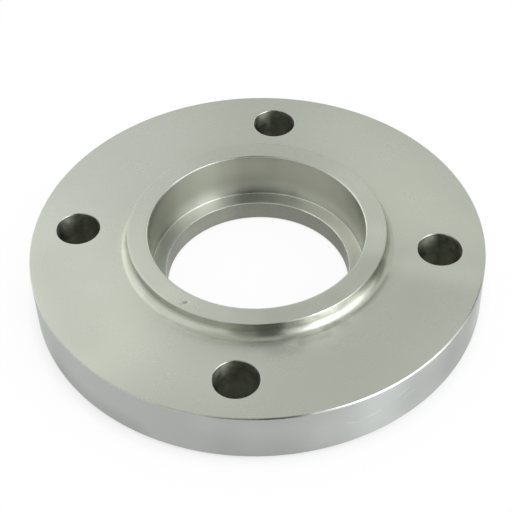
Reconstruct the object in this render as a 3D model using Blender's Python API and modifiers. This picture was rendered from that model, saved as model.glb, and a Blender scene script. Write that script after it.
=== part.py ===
"""Socket weld pipe flange: a round steel plate turned and drilled from one forging.

The pipe slides into the socket in the low hub, stops on the shoulder and is welded round
the hub's top. The flange bolts to its mate with the raised gasket face, which lies in the
plane z = 0 with its centre at the origin. +Z runs along the axis towards the hub.
"""

import math

import bmesh
import bpy

# Sizes across the axis, in metres, counted outwards from the pipe.
PIPE_DIAMETER = 0.0889
SOCKET_CLEARANCE = 0.00085
SHOULDER_WIDTH = 0.00635
HUB_WALL = 0.0087
WRENCH_ROOM = 0.0098
BOLT_HOLE_DIAMETER = 0.0184
RIM_WALL = 0.0096
GASKET_MARGIN = 0.0035
BOLT_COUNT = 4

# Sizes along the axis, counted upwards from the gasket face.
RAISED_FACE_HEIGHT = 0.0016
PLATE_THICKNESS = 0.0229
HUB_HEIGHT = 0.0065
STOP_HEIGHT = 0.0091

# Rounds and broken edges.
HUB_ROOT_RADIUS = 0.0032
SOCKET_CORNER_RADIUS = 0.0006
HUB_EDGE_BREAK = 0.0003
SOCKET_MOUTH_CHAMFER = 0.0006
SHOULDER_EDGE_BREAK = 0.0004
BORE_EDGE_BREAK = 0.0005
RIM_CHAMFER = 0.0008
RAISED_FACE_BREAK = 0.0003
BOLT_HOLE_CHAMFER = 0.0003

# Fineness of the round faces.
TURN_STEPS = 144
HOLE_STEPS = 48
HUB_ROOT_STEPS = 6
CORNER_STEPS = 3
MERGE_DISTANCE = 1e-6
SHARP_ANGLE = math.radians(20)
CUTTER_OVERSHOOT = 0.002

# Radii from the axis.
socket_radius = PIPE_DIAMETER / 2 + SOCKET_CLEARANCE
bore_radius = socket_radius - SHOULDER_WIDTH
hub_radius = socket_radius + HUB_WALL
root_radius = min(HUB_ROOT_RADIUS, HUB_HEIGHT - HUB_EDGE_BREAK)
hole_radius = BOLT_HOLE_DIAMETER / 2
bolt_circle_radius = hub_radius + root_radius + WRENCH_ROOM + hole_radius
rim_radius = bolt_circle_radius + hole_radius + RIM_WALL
raised_face_radius = bolt_circle_radius - hole_radius - GASKET_MARGIN

# Heights of the faces.
plate_bottom = RAISED_FACE_HEIGHT
plate_top = plate_bottom + PLATE_THICKNESS
hub_top = plate_top + HUB_HEIGHT


def arc(centre, radius, start, end, steps):
    """Points of an arc in the XZ plane, angles in degrees from +X towards +Z."""
    points = []
    for i in range(steps + 1):
        angle = math.radians(start + (end - start) * i / steps)
        points.append((centre[0] + radius * math.cos(angle), centre[1] + radius * math.sin(angle)))
    return points


def flange_profile():
    """Section through one side of the flange: down the outside, then up the inside."""
    hub = [
        (socket_radius + SOCKET_MOUTH_CHAMFER, hub_top),
        (hub_radius - HUB_EDGE_BREAK, hub_top),
        (hub_radius, hub_top - HUB_EDGE_BREAK),
    ]
    hub_root = arc((hub_radius + root_radius, plate_top + root_radius), root_radius,
                   180, 270, HUB_ROOT_STEPS)
    plate = [
        (rim_radius - RIM_CHAMFER, plate_top),
        (rim_radius, plate_top - RIM_CHAMFER),
        (rim_radius, plate_bottom + RIM_CHAMFER),
        (rim_radius - RIM_CHAMFER, plate_bottom),
    ]
    raised_face = [
        (raised_face_radius, plate_bottom),
        (raised_face_radius, RAISED_FACE_BREAK),
        (raised_face_radius - RAISED_FACE_BREAK, 0),
    ]
    bore = [
        (bore_radius + BORE_EDGE_BREAK, 0),
        (bore_radius, BORE_EDGE_BREAK),
        (bore_radius, STOP_HEIGHT - SHOULDER_EDGE_BREAK),
        (bore_radius + SHOULDER_EDGE_BREAK, STOP_HEIGHT),
    ]
    socket_corner = arc((socket_radius - SOCKET_CORNER_RADIUS, STOP_HEIGHT + SOCKET_CORNER_RADIUS),
                        SOCKET_CORNER_RADIUS, -90, 0, CORNER_STEPS)
    socket_mouth = [(socket_radius, hub_top - SOCKET_MOUTH_CHAMFER)]
    return hub + hub_root + plate + raised_face + bore + socket_corner + socket_mouth


def bolt_hole_profile():
    """Half section of one hole's cutter: a cylinder that flares at 45 degrees at both faces."""
    flare = BOLT_HOLE_CHAMFER + CUTTER_OVERSHOOT
    above = plate_top + CUTTER_OVERSHOOT
    below = plate_bottom - CUTTER_OVERSHOOT
    return [
        (0, above),
        (hole_radius + flare, above),
        (hole_radius, plate_top - BOLT_HOLE_CHAMFER),
        (hole_radius, plate_bottom + BOLT_HOLE_CHAMFER),
        (hole_radius + flare, below),
        (0, below),
    ]


def turned_object(name, profile, steps, closed, collection):
    """Turn a profile in the XZ plane about Z with a Screw modifier."""
    bm = bmesh.new()
    vertices = [bm.verts.new((x, 0, z)) for x, z in profile]
    for first, second in zip(vertices, vertices[1:]):
        bm.edges.new((first, second))
    if closed:
        bm.edges.new((vertices[-1], vertices[0]))
    mesh = bpy.data.meshes.new(name)
    bm.to_mesh(mesh)
    bm.free()
    turned = bpy.data.objects.new(name, mesh)
    collection.objects.link(turned)
    screw = turned.modifiers.new("Turn", 'SCREW')
    screw.axis = 'Z'
    screw.steps = steps
    screw.render_steps = steps
    screw.use_merge_vertices = True
    screw.merge_threshold = MERGE_DISTANCE
    return turned


def bolt_hole_cutter(index, collection):
    """One bolt hole's cutter, in its place on the bolt circle."""
    cutter = turned_object(f"bolt_hole_cutter_{index + 1}", bolt_hole_profile(),
                           HOLE_STEPS, False, collection)
    angle = math.tau * index / BOLT_COUNT
    cutter.location = (bolt_circle_radius * math.cos(angle), bolt_circle_radius * math.sin(angle), 0)
    cutter.hide_render = True
    cutter.display_type = 'WIRE'
    return cutter


def settle_mesh(turned):
    """Keep the evaluated shape as the object's own mesh, smooth with crisp edges."""
    bpy.context.view_layer.update()
    evaluated = turned.evaluated_get(bpy.context.evaluated_depsgraph_get())
    profile_mesh = turned.data
    turned.data = bpy.data.meshes.new_from_object(evaluated)
    turned.data.name = turned.name
    turned.modifiers.clear()
    bpy.data.meshes.remove(profile_mesh)
    turned.data.shade_smooth()
    turned.data.set_sharp_from_angle(angle=SHARP_ANGLE)


def turned_steel():
    """Bare satin steel, as a fine turning cut leaves it."""
    material = bpy.data.materials.new("turned_steel")
    material.use_nodes = True
    shader = material.node_tree.nodes["Principled BSDF"]
    shader.inputs["Base Color"].default_value = (0.56, 0.57, 0.53, 1.0)
    shader.inputs["Metallic"].default_value = 1.0
    shader.inputs["Roughness"].default_value = 0.34
    return material


for old_object in list(bpy.data.objects):
    bpy.data.objects.remove(old_object)

part_collection = bpy.data.collections.new("socket_weld_flange")
cutter_collection = bpy.data.collections.new("bolt_hole_cutters")
for new_collection in (part_collection, cutter_collection):
    bpy.context.scene.collection.children.link(new_collection)

flange = turned_object("flange", flange_profile(), TURN_STEPS, True, part_collection)
for hole in range(BOLT_COUNT):
    bolt_hole_cutter(hole, cutter_collection)

drill = flange.modifiers.new("Bolt holes", 'BOOLEAN')
drill.operation = 'DIFFERENCE'
drill.solver = 'EXACT'
drill.operand_type = 'COLLECTION'
drill.collection = cutter_collection

settle_mesh(flange)
flange.data.materials.clear()
flange.data.materials.append(turned_steel())
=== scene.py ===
import math

import bmesh
import bpy
import numpy as np
from mathutils import Matrix, Vector


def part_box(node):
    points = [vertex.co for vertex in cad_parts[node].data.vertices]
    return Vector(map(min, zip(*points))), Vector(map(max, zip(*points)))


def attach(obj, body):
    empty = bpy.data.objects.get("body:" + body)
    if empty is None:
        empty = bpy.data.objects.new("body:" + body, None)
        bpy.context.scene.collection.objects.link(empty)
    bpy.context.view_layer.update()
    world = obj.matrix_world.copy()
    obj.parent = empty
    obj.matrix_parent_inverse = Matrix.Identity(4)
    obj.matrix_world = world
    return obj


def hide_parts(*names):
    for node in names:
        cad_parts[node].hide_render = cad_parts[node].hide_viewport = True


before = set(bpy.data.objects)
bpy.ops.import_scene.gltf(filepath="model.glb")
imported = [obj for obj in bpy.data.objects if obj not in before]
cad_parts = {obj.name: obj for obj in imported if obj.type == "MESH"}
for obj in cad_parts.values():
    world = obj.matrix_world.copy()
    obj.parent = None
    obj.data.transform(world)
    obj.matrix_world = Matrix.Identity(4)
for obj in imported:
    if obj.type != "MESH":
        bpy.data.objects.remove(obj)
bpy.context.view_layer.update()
print("frame loaded")

# Flange: radii are from the axis and heights from the gasket face, in metres
flangeLow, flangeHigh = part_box("flange")
rimRadius = (flangeHigh[0] - flangeLow[0]) / 2
hubTop = flangeHigh[2]
flange = {
    "hubHeight": 0.0065,
    "plateBottom": 0.0016,
    "stopHeight": 0.0091,
    "boreRadius": 0.03895,
    "socketRadius": 0.0453,
    "hubRadius": 0.0540,
    "hubRootRadius": 0.0032,
    "raisedFaceRadius": 0.0635,
    "boltCircleRadius": 0.0762,
    "boltHoleRadius": 0.0092,
    "boltCount": 4,
    "socketCorner": 0.0006,
    "socketMouth": 0.0006,
    "hubBreak": 0.0003,
    "shoulderBreak": 0.0004,
    "boreBreak": 0.0001,
    "rimChamfer": 0.0005,
    "lowerRimChamfer": 0.0002,
    "rimCrown": 0.2,        # 0 leaves a chamfer flat and 1 makes it a quarter round
    "raisedFaceBreak": 0.0003,
    "boltHoleChamfer": 0.0003,
    "boltHoleCrown": 0.5,
}
plateTop = hubTop - flange["hubHeight"]

fineness = {
    "turnSteps": 360,       # facets round the axis, one for each degree
    "frameHalfSteps": 12,   # a bolt hole's patch reaches this many facets each way
    "frameSideSteps": 16,   # facets along each radial side of that patch
    "holeRings": 6,         # rings between a hole's edge and its patch's edge
    "rootSteps": 12,
    "breakSteps": 4,
    "holeBreakSteps": 3,
    # Rings of points on each straight wall
    "wallRows": {"hub": 5, "rim": 8, "bore": 5, "shoulder": 4, "socket": 8, "boltHole": 5},
    "sharpAngle": 18.0,     # degrees between two faces that keep a crisp edge
    "weldGap": 0.000001,
}
facet = math.tau / fineness["turnSteps"]
turnAngles = np.arange(fineness["turnSteps"] + 1) * facet
holeSpacing = fineness["turnSteps"] // flange["boltCount"]   # facets from hole to hole
uvScale = 10                # units of u in the UV map to a metre

serration = {"pitch": 0.0005, "depth": 0.00004}   # concentric cuts in the gasket face
nick = {                    # small dent in the hub's top face
    "angle": 242, "radius": 0.0502, "halfLength": 0.0011, "halfWidth": 0.00035,
    "depth": 0.00025, "turn": 4.0, "halfSteps": 3, "sideSteps": 8,
    "rings": 22, "crowding": 1.6,   # rings round the nick, closer together towards it
}


def gridQuads(rows, columns):
    # Corner numbers of the faces of a grid of points that are stored row after row
    face = np.arange((rows - 1) * (columns - 1))
    first = face // (columns - 1) * columns + face % (columns - 1)
    return np.stack([first, first + columns, first + columns + 1, first + 1], 1)


def roundedBreak(start, corner, end, steps, crown=1.0):
    # A broken edge: p = (1 - t)^2 start + 2 t (1 - t) pull + t^2 end, where pull lies at the
    # corner for a quarter round and nearer the middle of the chamfer for a smaller crown
    start, corner, end = np.array(start), np.array(corner), np.array(end)
    pull = (start + end) / 2 * (1 - crown) + corner * crown
    t = np.linspace(0, 1, steps + 1)[:, None]
    return (1 - t) ** 2 * start + 2 * t * (1 - t) * pull + t ** 2 * end


def profileArc(centre, radius, start, end, steps):
    # Points at equal angles, in degrees, on a circle in the profile's plane
    turn = np.radians(np.linspace(start, end, steps + 1))
    return np.stack([centre[0] + radius * np.cos(turn), centre[1] + radius * np.sin(turn)], 1)


def turnedPatch(profile, angles, centre=(0.0, 0.0)):
    # A profile carried round an upright axis: x = r cos a, y = r sin a, z = h.
    # In the UV map u is the length along the profile in decimetres, and v the angle in turns.
    profile = np.asarray(profile, float)
    stride = np.hypot(*np.diff(profile, axis=0).T)
    length = np.concatenate([[0.0], np.cumsum(stride)]) * uvScale
    radius, angle = np.meshgrid(profile[:, 0], angles, indexing="ij")
    height = np.repeat(profile[:, 1:], len(angles), 1)
    points = np.stack([centre[0] + radius * np.cos(angle),
                       centre[1] + radius * np.sin(angle), height], -1)
    uv = np.stack([np.repeat(length[:, None], len(angles), 1), angle / math.tau], -1)
    return points.reshape(-1, 3), gridQuads(*radius.shape), uv.reshape(-1, 2)


def flatRing(radii, height, angles):
    # A sector of a flat turned face, with a ring of points at each radius
    profile = np.stack([radii, np.full(len(radii), height)], 1)
    return turnedPatch(profile, angles)[:2]


def sectorOutline(innerRadius, outerRadius, middle, halfSteps, sideSteps):
    # Outline of a sector of a flat ring, anticlockwise from the outer arc's low end:
    # the outer arc, a radial side, the inner arc and the other radial side
    span = (middle + np.arange(-halfSteps, halfSteps + 1)) * facet
    side = np.linspace(outerRadius, innerRadius, sideSteps + 1)
    radius = np.concatenate([np.full(len(span), outerRadius), side[1:],
                             np.full(len(span) - 1, innerRadius), side[::-1][1:-1]])
    angle = np.concatenate([span, np.full(sideSteps, span[-1]), span[::-1][1:],
                            np.full(sideSteps - 1, span[0])])
    return np.stack([radius * np.cos(angle), radius * np.sin(angle)], 1)


def outlineAngles(middle, halfSteps, sideSteps):
    # Equal angles round a hole, one for each outline point, level with the outline's first
    count = 4 * halfSteps + 2 * sideSteps
    return middle * facet + (np.arange(count + 1) - halfSteps) * math.tau / count


def ringedPatch(outline, inner, height, rings, crowding=1.0):
    # Rings that turn one closed outline into another: p = inner + (outline - inner) t^crowding
    t = np.linspace(0, 1, rings + 1)[:, None, None] ** crowding
    flat = inner[None] + (outline - inner)[None] * t
    flat = np.concatenate([flat, flat[:, :1]], 1)
    points = np.concatenate([flat, np.full(flat.shape[:2] + (1,), height)], -1)
    return points.reshape(-1, 3), gridQuads(*flat.shape[:2])


def polarUv(points):
    # On a flat turned face u is the distance from the axis and v the angle, kept whole
    # across the half-turn where the angle would jump
    middle = points[:, :2].mean(0)
    lead = math.atan2(middle[1], middle[0])
    turned = points[:, 0] + 1j * points[:, 1]
    angle = np.angle(turned * np.exp(-1j * lead)) + lead
    return np.stack([np.abs(turned) * uvScale, angle / math.tau], 1)


def flipped(quads):
    return quads[:, ::-1]


def addPatch(shell, finish, points, faces, uv=None):
    # Keeps a patch as whole arrays, its faces numbered on from the patches before it.
    # Without a UV map of its own it is a flat face and takes the polar one.
    before = sum(len(known) for known in shell["points"])
    shell["points"].append(points)
    shell["faces"].append(faces + before)
    shell["uvs"].append(polarUv(points) if uv is None else uv)
    shell["finishes"].append(np.full(len(faces), list(steelLooks).index(finish)))


def weldedPiece(name, shell, materials):
    # One mesh of all the patches, with their shared edges welded
    faces = np.concatenate(shell["faces"])
    mesh = bpy.data.meshes.new(name)
    mesh.from_pydata(np.concatenate(shell["points"]), [], faces)
    uvLayer = mesh.uv_layers.new(name="turnUv")
    uvLayer.data.foreach_set("uv", np.concatenate(shell["uvs"])[faces.ravel()].ravel())
    for material in materials:
        mesh.materials.append(material)
    mesh.polygons.foreach_set("material_index", np.concatenate(shell["finishes"]))
    shape = bmesh.new()
    shape.from_mesh(mesh)
    bmesh.ops.remove_doubles(shape, verts=shape.verts, dist=fineness["weldGap"])
    shape.to_mesh(mesh)
    shape.free()
    mesh.shade_smooth()
    mesh.set_sharp_from_angle(angle=math.radians(fineness["sharpAngle"]))
    piece = bpy.data.objects.new(name, mesh)
    bpy.context.scene.collection.objects.link(piece)
    return piece


def holeCentres():
    turn = np.arange(flange["boltCount"]) * math.tau / flange["boltCount"]
    reach = flange["boltCircleRadius"]
    return np.stack([reach * np.cos(turn), reach * np.sin(turn)], 1)


def drilledWeb(shell, innerRadius, outerRadius, height, upward):
    # A flat ring with the bolt holes in it: ringed patches round the holes, plain sectors between
    half, sides = fineness["frameHalfSteps"], fineness["frameSideSteps"]
    holeEdge = flange["boltHoleRadius"] + flange["boltHoleChamfer"]
    radii = np.linspace(innerRadius, outerRadius, sides + 1)
    for number, centre in enumerate(holeCentres()):
        middle = number * holeSpacing
        angles = outlineAngles(middle, half, sides)[:-1]
        hole = centre + holeEdge * np.stack([np.cos(angles), np.sin(angles)], 1)
        outline = sectorOutline(innerRadius, outerRadius, middle, half, sides)
        between = (middle + np.arange(half, holeSpacing - half + 1)) * facet
        for points, quads in (ringedPatch(outline, hole, height, fineness["holeRings"]),
                              flatRing(radii, height, between)):
            addPatch(shell, "facedSteel", points, quads if upward else flipped(quads))


def boltHoles(shell):
    # Each hole's wall, with a small chamfer at both faces, turned about the hole's own axis
    half, sides = fineness["frameHalfSteps"], fineness["frameSideSteps"]
    steps, crown = fineness["holeBreakSteps"], flange["boltHoleCrown"]
    inner, outer = flange["boltHoleRadius"], flange["boltHoleRadius"] + flange["boltHoleChamfer"]
    top, bottom = plateTop, flange["plateBottom"]
    wallTop, wallBottom = top - flange["boltHoleChamfer"], bottom + flange["boltHoleChamfer"]
    rows = fineness["wallRows"]["boltHole"]
    sections = (
        (roundedBreak((outer, top), (inner, top), (inner, wallTop), steps, crown),
         "holeEdgeSteel"),
        (np.linspace((inner, wallTop), (inner, wallBottom), rows), "drilledSteel"),
        (roundedBreak((inner, wallBottom), (inner, bottom), (outer, bottom), steps, crown),
         "holeEdgeSteel"),
    )
    for number, centre in enumerate(holeCentres()):
        angles = outlineAngles(number * holeSpacing, half, sides)
        for profile, finish in sections:
            points, quads, uv = turnedPatch(profile, angles, centre)
            addPatch(shell, finish, points, flipped(quads), uv)


def nickedHubTop(shell):
    # The hub's top ring: one small sector has its rings closed in on the nick's middle
    inner = flange["socketRadius"] + flange["socketMouth"]
    outer = flange["hubRadius"] - flange["hubBreak"]
    half, sides, middle = nick["halfSteps"], nick["sideSteps"], nick["angle"]
    outline = sectorOutline(inner, outer, middle, half, sides)
    centre = nick["radius"] * np.array([math.cos(middle * facet), math.sin(middle * facet)])
    pole = np.repeat(centre[None], len(outline), 0)
    points, quads = ringedPatch(outline, pole, hubTop, nick["rings"], nick["crowding"])
    # The dent: z falls by depth times exp(-(a/length)^4 - (b/width)^2), a along it and b across
    lean = math.radians(nick["turn"])
    offset = points[:, :2] - centre
    along = offset @ np.array([math.cos(lean), math.sin(lean)])
    across = offset @ np.array([-math.sin(lean), math.cos(lean)])
    dent = np.exp(-(along / nick["halfLength"]) ** 4 - (across / nick["halfWidth"]) ** 2)
    points[:, 2] -= nick["depth"] * dent
    addPatch(shell, "facedSteel", points, quads)
    rest = (middle + np.arange(half, fineness["turnSteps"] - half + 1)) * facet
    points, quads = flatRing(np.linspace(inner, outer, sides + 1), hubTop, rest)
    addPatch(shell, "facedSteel", points, quads)


def serratedFace(outer, inner):
    # Zigzag profile: crests lie in the gasket plane and roots one depth above it
    count = int((outer - inner) / serration["pitch"])
    radii = np.linspace(outer, inner, 2 * count + 1)
    heights = serration["depth"] * (np.arange(len(radii)) % 2)
    return np.stack([radii, heights], 1)


def outerSections():
    # The section from the hub's edge down the outside to the gasket face, as (profile, finish)
    f, steps, rows, rim = flange, fineness["breakSteps"], fineness["wallRows"], rimRadius
    hub, hubBreak, root = f["hubRadius"], f["hubBreak"], f["hubRootRadius"]
    chamfer, lowChamfer, crown = f["rimChamfer"], f["lowerRimChamfer"], f["rimCrown"]
    under, face, faceBreak = f["plateBottom"], f["raisedFaceRadius"], f["raisedFaceBreak"]
    rimTop, rimBottom, hubEdge = plateTop - chamfer, under + lowChamfer, hubTop - hubBreak
    return [
        (roundedBreak((hub - hubBreak, hubTop), (hub, hubTop), (hub, hubEdge), steps), "hubSteel"),
        (np.linspace((hub, hubEdge), (hub, plateTop + root), rows["hub"]), "hubSteel"),
        (profileArc((hub + root, plateTop + root), root, 180, 270, fineness["rootSteps"]),
         "rootSteel"),
        (roundedBreak((rim - chamfer, plateTop), (rim, plateTop), (rim, rimTop), steps, crown),
         "edgeSteel"),
        (np.linspace((rim, rimTop), (rim, rimBottom), rows["rim"]), "rimSteel"),
        (roundedBreak((rim, rimBottom), (rim, under), (rim - lowChamfer, under), steps, crown),
         "rimSteel"),
        ([(face, under), (face, faceBreak), (face - faceBreak, 0)], "facedSteel"),
        (serratedFace(face - faceBreak, f["boreRadius"] + f["boreBreak"]), "gasketSteel"),
    ]


def innerSections():
    # The section from the bore's lower edge up the inside to the socket's mouth
    f, steps, rows = flange, fineness["breakSteps"], fineness["wallRows"]
    bore, boreBreak = f["boreRadius"], f["boreBreak"]
    stop, lip, corner = f["stopHeight"], f["shoulderBreak"], f["socketCorner"]
    socket, mouth = f["socketRadius"], f["socketMouth"]
    wallTop = hubTop - mouth
    return [
        ([(bore + boreBreak, 0), (bore, boreBreak)], "boredSteel"),
        (np.linspace((bore, boreBreak), (bore, stop - lip), rows["bore"]), "boredSteel"),
        (roundedBreak((bore, stop - lip), (bore, stop), (bore + lip, stop), steps), "facedSteel"),
        (np.linspace((bore + lip, stop), (socket - corner, stop), rows["shoulder"]),
         "shoulderSteel"),
        (profileArc((socket - corner, stop + corner), corner, -90, 0, steps), "facedSteel"),
        (np.linspace((socket, stop + corner), (socket, wallTop), rows["socket"]), "socketSteel"),
        (roundedBreak((socket, wallTop), (socket, hubTop), (socket + mouth, hubTop), steps),
         "edgeSteel"),
    ]


def buildFlange(materials):
    shell = {"points": [], "faces": [], "uvs": [], "finishes": []}
    f = flange
    nickedHubTop(shell)
    drilledWeb(shell, f["hubRadius"] + f["hubRootRadius"], rimRadius - f["rimChamfer"],
               plateTop, True)
    drilledWeb(shell, f["raisedFaceRadius"], rimRadius - f["lowerRimChamfer"],
               f["plateBottom"], False)
    boltHoles(shell)
    for profile, finish in outerSections() + innerSections():
        points, quads, uv = turnedPatch(profile, turnAngles)
        addPatch(shell, finish, points, quads, uv)
    return weldedPiece("turned_flange", shell, materials)


# Steel: one look for each way the metal was cut. Colours are linear, lengths in metres.
# facedSteel is on the flat turned faces, edgeSteel on the breaks of the rim and the socket's
# mouth, holeEdgeSteel on the bolt holes' chamfers and rootSteel on the fillet at the hub's foot.
# cloud, drift and ring are how far the shade changes in spots, over the whole face and from
# one tool ring to the next; spots is the size of the spots, which are also a little rougher
# or finer; grain is the height of the roughened surface.
steelLooks = {
    "facedSteel": {"colour": (0.567, 0.581, 0.535), "roughness": 0.27, "anisotropy": 0.8,
                   "cloud": 0.016, "spots": 0.012, "drift": 0.03, "ring": 0.003, "grain": 3e-7},
    "rimSteel": {"colour": (0.470, 0.488, 0.469), "roughness": 0.35, "anisotropy": 1.0,
                 "cloud": 0.025, "spots": 0.012, "drift": 0.05, "ring": 0.008, "grain": 6e-7},
    "hubSteel": {"colour": (0.549, 0.561, 0.502), "roughness": 0.19, "anisotropy": 0.85,
                 "cloud": 0.02, "spots": 0.004, "drift": 0.04, "ring": 0.010, "grain": 3e-7},
    "socketSteel": {"colour": (0.576, 0.590, 0.526), "roughness": 0.33, "anisotropy": 1.0,
                    "cloud": 0.03, "spots": 0.009, "drift": 0.06, "ring": 0.02, "grain": 5e-7},
    # boredSteel is a rougher bored finish, and its dark colour is partly painted shade for the
    # shadowed floor that the bore's wall reflects
    "boredSteel": {"colour": (0.240, 0.248, 0.212), "roughness": 0.42, "anisotropy": 0.4,
                   "cloud": 0.24, "spots": 0.0014, "drift": 0.10, "ring": 0.06, "grain": 1e-5},
    "drilledSteel": {"colour": (0.352, 0.374, 0.290), "roughness": 0.48, "anisotropy": 0.85,
                     "cloud": 0.22, "spots": 0.0020, "drift": 0.10, "ring": 0.10, "grain": 6e-6},
    "gasketSteel": {"colour": (0.545, 0.553, 0.532), "roughness": 0.30, "anisotropy": 0.6,
                    "cloud": 0.02, "spots": 0.009, "drift": 0.04, "ring": 0.02, "grain": 2e-6},
    "edgeSteel": {"colour": (0.651, 0.660, 0.625), "roughness": 0.27, "anisotropy": 0.7,
                  "cloud": 0.03, "spots": 0.004, "drift": 0.03, "ring": 0.0, "grain": 1e-6},
    "holeEdgeSteel": {"colour": (0.640, 0.650, 0.610), "roughness": 0.24, "anisotropy": 0.7,
                      "cloud": 0.03, "spots": 0.004, "drift": 0.03, "ring": 0.0, "grain": 1e-6},
    "rootSteel": {"colour": (0.536, 0.555, 0.489), "roughness": 0.31, "anisotropy": 0.9,
                  "cloud": 0.06, "spots": 0.0035, "drift": 0.03, "ring": 0.01, "grain": 2e-6},
    "shoulderSteel": {"colour": (0.582, 0.592, 0.542), "roughness": 0.33, "anisotropy": 1.0,
                      "cloud": 0.03, "spots": 0.006, "drift": 0.04, "ring": 0.02, "grain": 5e-7},
}
texture = {
    "driftSize": 0.06, "ringPitch": 0.0020, "grainSize": 0.0006,
    "spotDetail": 0.7, "ringDetail": 1.0, "grainDetail": 3.0,
    "cloudRoughness": 0.8,  # how far the roughness follows the spots, as parts of their cloud
    "ringRoughness": 0.006,
}
# Painted shade: the socket's wall is darker towards its mouth, and a bolt hole's wall deeper
# down: the colour changes to this one between two heights above the gasket face
paintedShadeByHeight = {
    "socketSteel": {"from": 0.0095, "to": 0.0190, "colour": (0.353, 0.366, 0.298)},
    "drilledSteel": {"from": 0.0245, "to": 0.0150, "colour": (0.217, 0.228, 0.173)},
}
# Painted shade and light: the bolt holes' edges are darker towards this azimuth and brighter away
# from it
paintedSideShade = {"holeEdgeSteel": {"azimuth": 50, "amount": 0.40}}
# Painted shade and light: darker and brighter spots on each bolt hole's wall, between two
# angles round the hole in degrees; height is above the gasket face
paintedWallSpots = [
    {"angles": (25, 65), "height": 0.0222, "width": 0.0080, "shade": -0.60},
    {"angles": (62, 92), "height": 0.0085, "width": 0.0090, "shade": 0.35},
    {"angles": (135, 160), "height": 0.0150, "width": 0.0070, "shade": -0.42},
    {"angles": (112, 140), "height": 0.0240, "width": 0.0040, "shade": 0.15},
]
# Marks: light scratches on the rim, darker spots on the hub's top face, two of them at the nick,
# and a painted highlight, a pale streak on the plate. Each is a stroke between two points, and
# shade is the change of brightness on it.
marksAndPaintedStreak = {
    "facedSteel": [
        {"from": (-0.0228, -0.0445, 0.0310), "to": (-0.0240, -0.0446, 0.0310),
         "width": 0.0006, "shade": -0.62},
        {"from": (-0.0232, -0.0446, 0.0310), "to": (-0.0254, -0.0456, 0.0310),
         "width": 0.0009, "shade": -0.18},
        {"from": (0.0391, -0.0323, 0.0310), "to": (0.0393, -0.0324, 0.0310),
         "width": 0.0003, "shade": -0.30},
        {"from": (0.0222, 0.0478, 0.0310), "to": (0.0240, 0.0468, 0.0310),
         "width": 0.0008, "shade": -0.10},
        # A painted highlight: a pale streak across the plate
        {"from": (0.0651, -0.0109, 0.0244), "to": (0.0878, -0.0147, 0.0244),
         "width": 0.0110, "shade": 0.10},
    ],
    "rimSteel": [
        {"from": (0.05044, -0.08050, 0.0128), "to": (0.05487, -0.07755, 0.0135),
         "width": 0.00045, "shade": 0.28},
        {"from": (0.04620, -0.08301, 0.0118), "to": (0.04950, -0.08109, 0.0128),
         "width": 0.00035, "shade": 0.12},
        {"from": (0.04309, -0.08466, 0.0135), "to": (0.04571, -0.08328, 0.0124),
         "width": 0.0007, "shade": 0.20},
        {"from": (0.06410, -0.07011, 0.0131), "to": (0.06740, -0.06695, 0.0142),
         "width": 0.0009, "shade": 0.13},
        {"from": (0.06150, -0.07241, 0.0165), "to": (0.06480, -0.06947, 0.0176),
         "width": 0.0014, "shade": 0.09},
    ],
}
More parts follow.
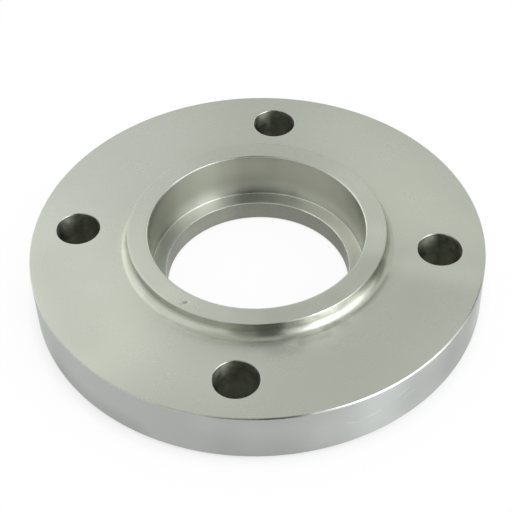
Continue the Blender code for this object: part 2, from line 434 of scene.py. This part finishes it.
# Painted light and shade: patches where the colour is darker or brighter to stand in for how
# light falls, each about a chord of the turned shape across an arc between two azimuths in
# degrees; height is above the gasket face
paintedLightAndShade = {
    "facedSteel": [
        {"arc": (310, 345), "radius": 0.0760, "height": 0.0244, "width": 0.040, "shade": -0.10},
        {"arc": (245, 264), "radius": 0.0760, "height": 0.0244, "width": 0.032, "shade": 0.10},
        {"arc": (5, 65), "radius": 0.0790, "height": 0.0244, "width": 0.040, "shade": 0.08},
        {"arc": (119, 165), "radius": 0.0780, "height": 0.0244, "width": 0.034, "shade": 0.03},
        {"arc": (195, 221), "radius": 0.0900, "height": 0.0244, "width": 0.022, "shade": -0.09},
        {"arc": (69, 117), "radius": 0.0500, "height": 0.0310, "width": 0.020, "shade": -0.06},
        {"arc": (284, 310), "radius": 0.0500, "height": 0.0310, "width": 0.010, "shade": -0.08},
        {"arc": (318, 339), "radius": 0.0500, "height": 0.0310, "width": 0.010, "shade": -0.08},
        {"arc": (234, 261), "radius": 0.0500, "height": 0.0310, "width": 0.010, "shade": 0.08},
        {"arc": (353, 362), "radius": 0.0500, "height": 0.0310, "width": 0.009, "shade": 0.08},
        {"arc": (293, 303), "radius": 0.0597, "height": 0.0244, "width": 0.0038, "shade": -0.33},
        {"arc": (306, 312), "radius": 0.0595, "height": 0.0244, "width": 0.003, "shade": -0.15},
        {"arc": (282, 290), "radius": 0.0630, "height": 0.0244, "width": 0.005, "shade": -0.12},
        {"arc": (32, 62), "radius": 0.0392, "height": 0.0090, "width": 0.004, "shade": 0.45},
    ],
    "edgeSteel": [
        {"arc": (228, 255), "radius": 0.0948, "height": 0.0244, "width": 0.040, "shade": -0.28},
        {"arc": (269, 283), "radius": 0.0948, "height": 0.0244, "width": 0.012, "shade": -0.05},
        {"arc": (59, 105), "radius": 0.0456, "height": 0.0310, "width": 0.014, "shade": -0.26},
        {"arc": (189, 213), "radius": 0.0456, "height": 0.0310, "width": 0.012, "shade": 0.16},
        {"arc": (122, 134), "radius": 0.0456, "height": 0.0310, "width": 0.010, "shade": -0.18},
        {"arc": (252, 300), "radius": 0.0456, "height": 0.0310, "width": 0.012, "shade": 0.16},
        {"arc": (7, 27), "radius": 0.0456, "height": 0.0310, "width": 0.010, "shade": 0.14},
    ],
    "rimSteel": [
        {"arc": (207, 217), "radius": 0.0950, "height": 0.0130, "width": 0.022, "shade": -0.12},
        {"arc": (279, 290), "radius": 0.0950, "height": 0.0130, "width": 0.020, "shade": 0.14},
        {"arc": (315, 327), "radius": 0.0950, "height": 0.0130, "width": 0.022, "shade": -0.14},
        {"arc": (349, 362), "radius": 0.0950, "height": 0.0130, "width": 0.022, "shade": 0.37},
        {"arc": (196, 203), "radius": 0.0950, "height": 0.0200, "width": 0.012, "shade": -0.10},
        {"arc": (219, 246), "radius": 0.0950, "height": 0.0040, "width": 0.009, "shade": -0.14},
        {"arc": (266, 283), "radius": 0.0950, "height": 0.0210, "width": 0.013, "shade": 0.12},
    ],
    "hubSteel": [
        {"arc": (200, 245), "radius": 0.0540, "height": 0.0285, "width": 0.022, "shade": -0.20},
        {"arc": (297, 304), "radius": 0.0540, "height": 0.0283, "width": 0.012, "shade": 0.50},
        {"arc": (309, 324), "radius": 0.0540, "height": 0.0285, "width": 0.012, "shade": 0.16},
        {"arc": (217, 224), "radius": 0.0540, "height": 0.0285, "width": 0.008, "shade": -0.12},
        {"arc": (346, 356), "radius": 0.0540, "height": 0.0285, "width": 0.009, "shade": -0.16},
    ],
    "rootSteel": [
        {"arc": (207, 262), "radius": 0.0565, "height": 0.0260, "width": 0.020, "shade": 0.08},
        {"arc": (296, 300), "radius": 0.0550, "height": 0.0262, "width": 0.006, "shade": 0.12},
        {"arc": (193, 220), "radius": 0.0556, "height": 0.0260, "width": 0.0025, "shade": 0.16},
        {"arc": (325, 339), "radius": 0.0550, "height": 0.0262, "width": 0.012, "shade": 0.24},
    ],
    "socketSteel": [
        {"arc": (99, 113), "radius": 0.0453, "height": 0.0270, "width": 0.012, "shade": 0.16},
        {"arc": (19, 33), "radius": 0.0453, "height": 0.0250, "width": 0.010, "shade": -0.14},
        {"arc": (76, 97), "radius": 0.0453, "height": 0.0102, "width": 0.006, "shade": -0.17},
        {"arc": (185, 192), "radius": 0.0453, "height": 0.0112, "width": 0.007, "shade": 0.25},
    ],
    "boredSteel": [
        {"arc": (122, 149), "radius": 0.0390, "height": 0.0050, "width": 0.014, "shade": 0.34},
        {"arc": (4, 28), "radius": 0.0390, "height": 0.0050, "width": 0.012, "shade": -0.19},
    ],
    "shoulderSteel": [
        {"arc": (27, 59), "radius": 0.0420, "height": 0.0091, "width": 0.016, "shade": 0.20},
    ],
}
# Painted light and shade: the ring at the foot of the hub's fillet, shared by two steels, is
# brighter or darker across some arcs; fade is how many degrees each takes to begin and end
paintedFootRing = {
    "steels": ("rootSteel", "facedSteel"),
    "radius": 0.0573, "height": 0.0246, "width": 0.0024, "fade": 5,
    "arcs": [
        {"arc": (196, 224), "shade": -0.06},
        {"arc": (240, 283), "shade": 0.16},
        {"arc": (289, 292), "shade": -0.20},
        {"arc": (292, 303), "shade": -0.10},
        {"arc": (306, 307), "shade": -0.22},
        {"arc": (297, 341), "shade": -0.26},
    ],
}


def shaderNode(tree, kind, inputs=None, **settings):
    # A node with its settings; each input is given a value or linked to another node's output
    made = tree.nodes.new("ShaderNode" + kind)
    for name, value in settings.items():
        setattr(made, name, value)
    for key, value in (inputs or {}).items():
        if isinstance(value, bpy.types.NodeSocket):
            tree.links.new(value, made.inputs[key])
        else:
            made.inputs[key].default_value = value
    return made


def calculate(tree, operation, *values):
    return shaderNode(tree, "Math", dict(enumerate(values)), operation=operation).outputs[0]


def vectorMath(tree, operation, *values, result="Vector"):
    made = shaderNode(tree, "VectorMath", dict(enumerate(values)), operation=operation)
    return made.outputs[result]


def scaled(tree, vector, factor):
    return shaderNode(tree, "VectorMath", {0: vector, "Scale": factor},
                      operation='SCALE').outputs["Vector"]


def easedStep(tree, value, low, high):
    # 0 where the value is low, 1 where it is high, and a smooth S between them
    return shaderNode(tree, "MapRange", {"Value": value, "From Min": low, "From Max": high},
                      interpolation_type='SMOOTHSTEP').outputs["Result"]


def signedNoise(tree, inputs, **settings):
    # Noise from -1 to 1
    noise = shaderNode(tree, "TexNoise", inputs, **settings).outputs["Fac"]
    return calculate(tree, 'MULTIPLY_ADD', noise, 2.0, -1.0)


def spotNoise(tree, place, size):
    return signedNoise(tree, {"Vector": place, "Scale": 1 / size, "Detail": texture["spotDetail"]})


def turnedPoint(azimuth, radius, height):
    turn = math.radians(azimuth)
    return Vector((radius * math.cos(turn), radius * math.sin(turn), height))


def strokeMask(tree, place, start, end, width):
    # 1 on the line from a to b and 0 beyond its width: the nearest point of the line to p
    # is a + (b - a) t, where t = (p - a).(b - a) / |b - a|^2 kept between 0 and 1
    run = end - start
    offset = vectorMath(tree, 'SUBTRACT', place, start)
    along = vectorMath(tree, 'DOT_PRODUCT', offset, run / run.length_squared, result="Value")
    kept = shaderNode(tree, "Clamp", {"Value": along}).outputs["Result"]
    gap = vectorMath(tree, 'DISTANCE', offset, scaled(tree, run, kept), result="Value")
    return easedStep(tree, gap, width, 0.0)


def paintedFootMask(tree, place, height, arc):
    # Where the foot's painted light or shade goes: 1 on the foot's ring and 0 beyond its width,
    # across an arc. The gap is the distance of (radius, height) from the ring's own, and the turn
    # is the cosine of the angle between the point and the arc's middle.
    flat = vectorMath(tree, 'MULTIPLY', place, (1, 1, 0))
    radius = vectorMath(tree, 'LENGTH', flat, result="Value")
    section = shaderNode(tree, "CombineXYZ", {"X": radius, "Y": height}).outputs["Vector"]
    ring = (paintedFootRing["radius"], paintedFootRing["height"], 0)
    gap = vectorMath(tree, 'DISTANCE', section, ring, result="Value")
    middle, reach = sum(arc) / 2, math.radians(arc[1] - arc[0]) / 2
    outward = vectorMath(tree, 'NORMALIZE', flat)
    turn = vectorMath(tree, 'DOT_PRODUCT', outward, turnedPoint(middle, 1, 0), result="Value")
    across = easedStep(tree, turn, math.cos(reach + math.radians(paintedFootRing["fade"])), math.cos(reach))
    return calculate(tree, 'MULTIPLY', easedStep(tree, gap, paintedFootRing["width"], 0.0), across)


def paintedWallSpotMasks(tree, height, turns):
    # The bolt hole's wall is laid flat: x is the arc length from angle 0, both ways, and y
    # the height. On it a spot is a stroke as anywhere else.
    radius = flange["boltHoleRadius"]
    arc = calculate(tree, 'MULTIPLY', calculate(tree, 'WRAP', turns, 0.5, -0.5), math.tau * radius)
    wall = shaderNode(tree, "CombineXYZ", {"X": arc, "Y": height}).outputs["Vector"]
    for spot in paintedWallSpots:
        start, end = (Vector((radius * math.radians(angle), spot["height"], 0))
                      for angle in spot["angles"])
        yield strokeMask(tree, wall, start, end, spot["width"]), spot["shade"]


def marksAndPaintedShadeMasks(tree, name, place, height, turns):
    # Each place where one steel is darker or brighter, from its marks or from painted light and
    # shade: its mask, and what it adds to the shade
    for markOrStreak in marksAndPaintedStreak.get(name, ()):
        start, end = Vector(markOrStreak["from"]), Vector(markOrStreak["to"])
        yield strokeMask(tree, place, start, end, markOrStreak["width"]), markOrStreak["shade"]
    # Painted light and shade in patches
    for paintedPatch in paintedLightAndShade.get(name, ()):
        start, end = (turnedPoint(azimuth, paintedPatch["radius"], paintedPatch["height"])
                      for azimuth in paintedPatch["arc"])
        yield strokeMask(tree, place, start, end, paintedPatch["width"]), paintedPatch["shade"]
    # Painted light and shade at the foot of the hub's fillet
    if name in paintedFootRing["steels"]:
        for part in paintedFootRing["arcs"]:
            yield paintedFootMask(tree, place, height, part["arc"]), part["shade"]
    # Painted shade and light on the bolt holes' walls
    if name == "drilledSteel":
        yield from paintedWallSpotMasks(tree, height, turns)
    if name in paintedSideShade:
        # The cosine of the angle from the side with painted shade: 1 there, and -1 on the other
        # side
        side = -math.radians(paintedSideShade[name]["azimuth"])
        angle = calculate(tree, 'MULTIPLY_ADD', turns, math.tau, side)
        yield calculate(tree, 'COSINE', angle), -paintedSideShade[name]["amount"]


def steelBase(tree, name, height):
    # The steel's own colour, or a change from it to the painted-shade one: own + (shaded - own) t
    own = steelLooks[name]["colour"]
    if name not in paintedShadeByHeight:
        return own
    share = easedStep(tree, height, paintedShadeByHeight[name]["from"], paintedShadeByHeight[name]["to"])
    change = Vector(paintedShadeByHeight[name]["colour"]) - Vector(own)
    return vectorMath(tree, 'MULTIPLY_ADD', share, change, own)


def steelMaterial(name, look):
    material = bpy.data.materials.new(name)
    material.use_nodes = True
    tree = material.node_tree
    shader = tree.nodes["Principled BSDF"]
    place = shaderNode(tree, "TexCoord").outputs["Object"]
    height = shaderNode(tree, "SeparateXYZ", {0: place}).outputs["Z"]
    turnUv = shaderNode(tree, "UVMap", uv_map="turnUv").outputs["UV"]
    length, turns = shaderNode(tree, "SeparateXYZ", {0: turnUv}).outputs[:2]

    # Base colour: the steel's own times a shade that is 1 on average, before the marks and the
    # painted light and shade are added to it
    ring = signedNoise(tree, {"W": length, "Scale": 1 / (uvScale * texture["ringPitch"]),
                              "Detail": texture["ringDetail"]}, noise_dimensions='1D')
    cloud = spotNoise(tree, place, look["spots"])
    drift = spotNoise(tree, place, texture["driftSize"])
    shade = 1.0
    for mask, amount in ((ring, look["ring"]), (cloud, look["cloud"]), (drift, look["drift"]),
                         *marksAndPaintedShadeMasks(tree, name, place, height, turns)):
        shade = calculate(tree, 'MULTIPLY_ADD', mask, amount, shade)
    base = steelBase(tree, name, height)
    tree.links.new(scaled(tree, base, shade), shader.inputs["Base Color"])

    # Roughness, bump and the direction of the tool marks
    cloudRoughness = texture["cloudRoughness"] * look["cloud"]
    rough = calculate(tree, 'MULTIPLY_ADD', cloud, cloudRoughness, look["roughness"])
    rough = calculate(tree, 'MULTIPLY_ADD', ring, texture["ringRoughness"], rough)
    tree.links.new(rough, shader.inputs["Roughness"])
    grain = shaderNode(tree, "TexNoise", {"Vector": place, "Scale": 1 / texture["grainSize"],
                                          "Detail": texture["grainDetail"]})
    bump = shaderNode(tree, "Bump", {"Height": grain.outputs["Fac"], "Distance": look["grain"]})
    tree.links.new(bump.outputs["Normal"], shader.inputs["Normal"])
    shader.inputs["Metallic"].default_value = 1.0
    shader.inputs["Anisotropic"].default_value = look["anisotropy"]
    tangent = shaderNode(tree, "Tangent", direction_type='UV_MAP', uv_map="turnUv")
    tree.links.new(tangent.outputs["Tangent"], shader.inputs["Tangent"])
    return material


steels = [steelMaterial(name, look) for name, look in steelLooks.items()]
print("steels ready:", len(steels))
turnedFlange = buildFlange(steels)
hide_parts("flange")
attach(turnedFlange, "root")
print("flange built:", len(turnedFlange.data.polygons), "faces")


# Studio: a pale floor, a white surround, soft boxes and grey cards.
# Azimuths are in degrees from +X towards +Y, and sizes in degrees as the flange sees them.
studio = {"floorSize": 6.0, "floorDrop": 0.0001, "surround": 1.0, "diffuse": 0.85,
          "cardTint": (0.97, 1.0, 0.93)}
softBoxes = {               # brightness: how much brighter than the white surround
    "window": {"azimuth": 327, "elevation": 30, "width": 22, "height": 60, "brightness": 2.05,
               "colour": (0.97, 0.99, 1.04)},
    "windowRight": {"azimuth": 350, "elevation": 30, "width": 22, "height": 60, "brightness": 1.36,
                    "colour": (0.97, 0.99, 1.04)},
    "backLeft": {"azimuth": 137, "elevation": 40, "width": 24, "height": 40, "brightness": 0.62,
                 "colour": (0.97, 1.0, 0.82)},
}
greyCards = {
    "behindCamera": {"azimuth": 264, "elevation": 30, "width": 18, "height": 60, "grey": 0.31},
    "cameraLeft": {"azimuth": 244, "elevation": 40, "width": 22, "height": 40, "grey": 0.80},
    "cameraRight": {"azimuth": 284, "elevation": 30, "width": 22, "height": 60, "grey": 0.07},
    "right": {"azimuth": 25, "elevation": 20, "width": 18, "height": 40, "grey": 0.22},
    "backLow": {"azimuth": 79, "elevation": 10, "width": 84, "height": 20, "grey": 0.43},
    "backHigh": {"azimuth": 70, "elevation": 40, "width": 56, "height": 40, "grey": 0.78},
    "overBack": {"azimuth": 97, "elevation": 75, "width": 50, "height": 30, "grey": 0.63},
    "overFront": {"azimuth": 277, "elevation": 75, "width": 50, "height": 30, "grey": 0.54},
}
standoff = 1.5              # distance from the flange to the boxes and cards
# How much of the floor is plain white, by distance from the axis as parts of the reach. Inside
# the bore the white is painted light over the flange's shadow, and beside the rim it covers most
# of that shadow.
floorWhite = {
    "reach": 0.2,
    "steps": [(0.0, 0.94), (0.190, 0.94), (0.214, 0.0), (0.42, 0.0), (0.475, 0.68),
              (0.50, 0.92), (0.60, 0.98)],
}


def bareMaterial(name):
    # A material with an output and nothing on it yet
    material = bpy.data.materials.new(name)
    material.use_nodes = True
    tree = material.node_tree
    tree.nodes.clear()
    return material, tree, shaderNode(tree, "OutputMaterial").inputs["Surface"]


def whiteToEyes(tree):
    # 1 for what the camera, a reflection or a clear material sees, otherwise 0
    path = shaderNode(tree, "LightPath").outputs
    seen = calculate(tree, 'MAXIMUM', path["Is Camera Ray"], path["Is Glossy Ray"])
    return calculate(tree, 'MAXIMUM', seen, path["Is Transmission Ray"])


def whiteSurround():
    world = bpy.data.worlds.new("studioSurround")
    bpy.context.scene.world = world
    world.use_nodes = True
    background = world.node_tree.nodes["Background"]
    background.inputs["Color"].default_value = (1, 1, 1, 1)
    background.inputs["Strength"].default_value = studio["surround"]


def facingFlange(place):
    # Position and turn of a panel that looks at the flange, and its width and height
    azimuth, elevation = math.radians(place["azimuth"]), math.radians(place["elevation"])
    out = Vector((math.cos(azimuth) * math.cos(elevation),
                  math.sin(azimuth) * math.cos(elevation), math.sin(elevation)))
    turn = out.to_track_quat('Z', 'Y').to_matrix().to_4x4()
    width, height = (2 * standoff * math.tan(math.radians(place[side]) / 2)
                     for side in ("width", "height"))
    return Matrix.Translation(out * standoff) @ turn, width, height


def softBox(name, box):
    # An area lamp's power is pi times its area times its brightness
    place, width, height = facingFlange(box)
    lamp = bpy.data.lights.new(name, 'AREA')
    lamp.shape = 'RECTANGLE'
    lamp.size, lamp.size_y = width, height
    lamp.energy = math.pi * width * height * box["brightness"]
    lamp.color = box["colour"]
    light = bpy.data.objects.new(name, lamp)
    light.matrix_world = place
    light.visible_camera = False
    bpy.context.scene.collection.objects.link(light)


def greyCard(name, card):
    # Shows only in reflections, as the dark of a room behind the camera and overhead
    place, width, height = facingFlange(card)
    mesh = bpy.data.meshes.new(name)
    corners = [(x * width / 2, y * height / 2, 0) for x, y in ((-1, -1), (1, -1), (1, 1), (-1, 1))]
    mesh.from_pydata(corners, [], [(0, 1, 2, 3)])
    panel = bpy.data.objects.new(name, mesh)
    panel.matrix_world = place
    bpy.context.scene.collection.objects.link(panel)
    material, tree, output = bareMaterial(name)
    glow = shaderNode(tree, "Emission", {"Color": (*studio["cardTint"], 1),
                                         "Strength": card["grey"]})
    tree.links.new(glow.outputs["Emission"], output)
    mesh.materials.append(material)
    panel.visible_camera = panel.visible_diffuse = False


def paleFloor():
    # White where it is plain floor, and painted white over the flange's shadow inside the bore;
    # near the flange it darkens under it and takes its shadow, which the white partly covers
    mesh = bpy.data.meshes.new("floor")
    half, down = studio["floorSize"] / 2, -studio["floorDrop"]
    corners = [(-half, -half, down), (half, -half, down), (half, half, down), (-half, half, down)]
    mesh.from_pydata(corners, [], [(0, 1, 2, 3)])
    floor = bpy.data.objects.new("floor", mesh)
    bpy.context.scene.collection.objects.link(floor)
    material, tree, output = bareMaterial("paleFloor")
    place = shaderNode(tree, "TexCoord").outputs["Object"]
    away = vectorMath(tree, 'LENGTH', place, result="Value")
    away = calculate(tree, 'DIVIDE', away, floorWhite["reach"])
    share = shaderNode(tree, "ValToRGB", {"Fac": away})
    steps = share.color_ramp.elements      # a new ramp has two
    for number, (position, level) in enumerate(floorWhite["steps"]):
        step = steps[number] if number < 2 else steps.new(position)
        step.position, step.color = position, (level, level, level, 1)
    grey = studio["diffuse"]
    matt = shaderNode(tree, "BsdfDiffuse", {"Color": (grey, grey, grey, 1)})
    white = shaderNode(tree, "Emission")
    blend = shaderNode(tree, "MixShader", {
        0: calculate(tree, 'MULTIPLY', share.outputs["Color"], whiteToEyes(tree)),
        1: matt.outputs["BSDF"], 2: white.outputs["Emission"]})
    tree.links.new(blend.outputs["Shader"], output)
    mesh.materials.append(material)


whiteSurround()
paleFloor()
for name, box in softBoxes.items():
    softBox(name, box)
for name, card in greyCards.items():
    greyCard(name, card)
print("studio ready")

# Camera: where the photograph was taken from, worked out from the round edges
view = {
    "target": (-0.00089, 0.00221, 0.012), "distance": 0.56103, "azimuth": 7.225,
    "elevation": 45.146, "roll": -1.772, "lens": 92.41, "sensor": 36.0,
}


def placeCamera():
    azimuth, elevation = math.radians(view["azimuth"]), math.radians(view["elevation"])
    back = Vector((math.sin(azimuth) * math.cos(elevation),
                   -math.cos(azimuth) * math.cos(elevation), math.sin(elevation)))
    data = bpy.data.cameras.new("camera")
    data.lens = view["lens"]
    data.sensor_width = view["sensor"]
    camera = bpy.data.objects.new("camera", data)
    turn = (-back).to_track_quat('-Z', 'Y').to_matrix().to_4x4()
    camera.matrix_world = (Matrix.Translation(Vector(view["target"]) + back * view["distance"])
                           @ turn @ Matrix.Rotation(math.radians(view["roll"]), 4, 'Z'))
    bpy.context.scene.collection.objects.link(camera)
    bpy.context.scene.camera = camera


placeCamera()
bpy.context.scene.view_settings.view_transform = 'Standard'
print("camera placed")
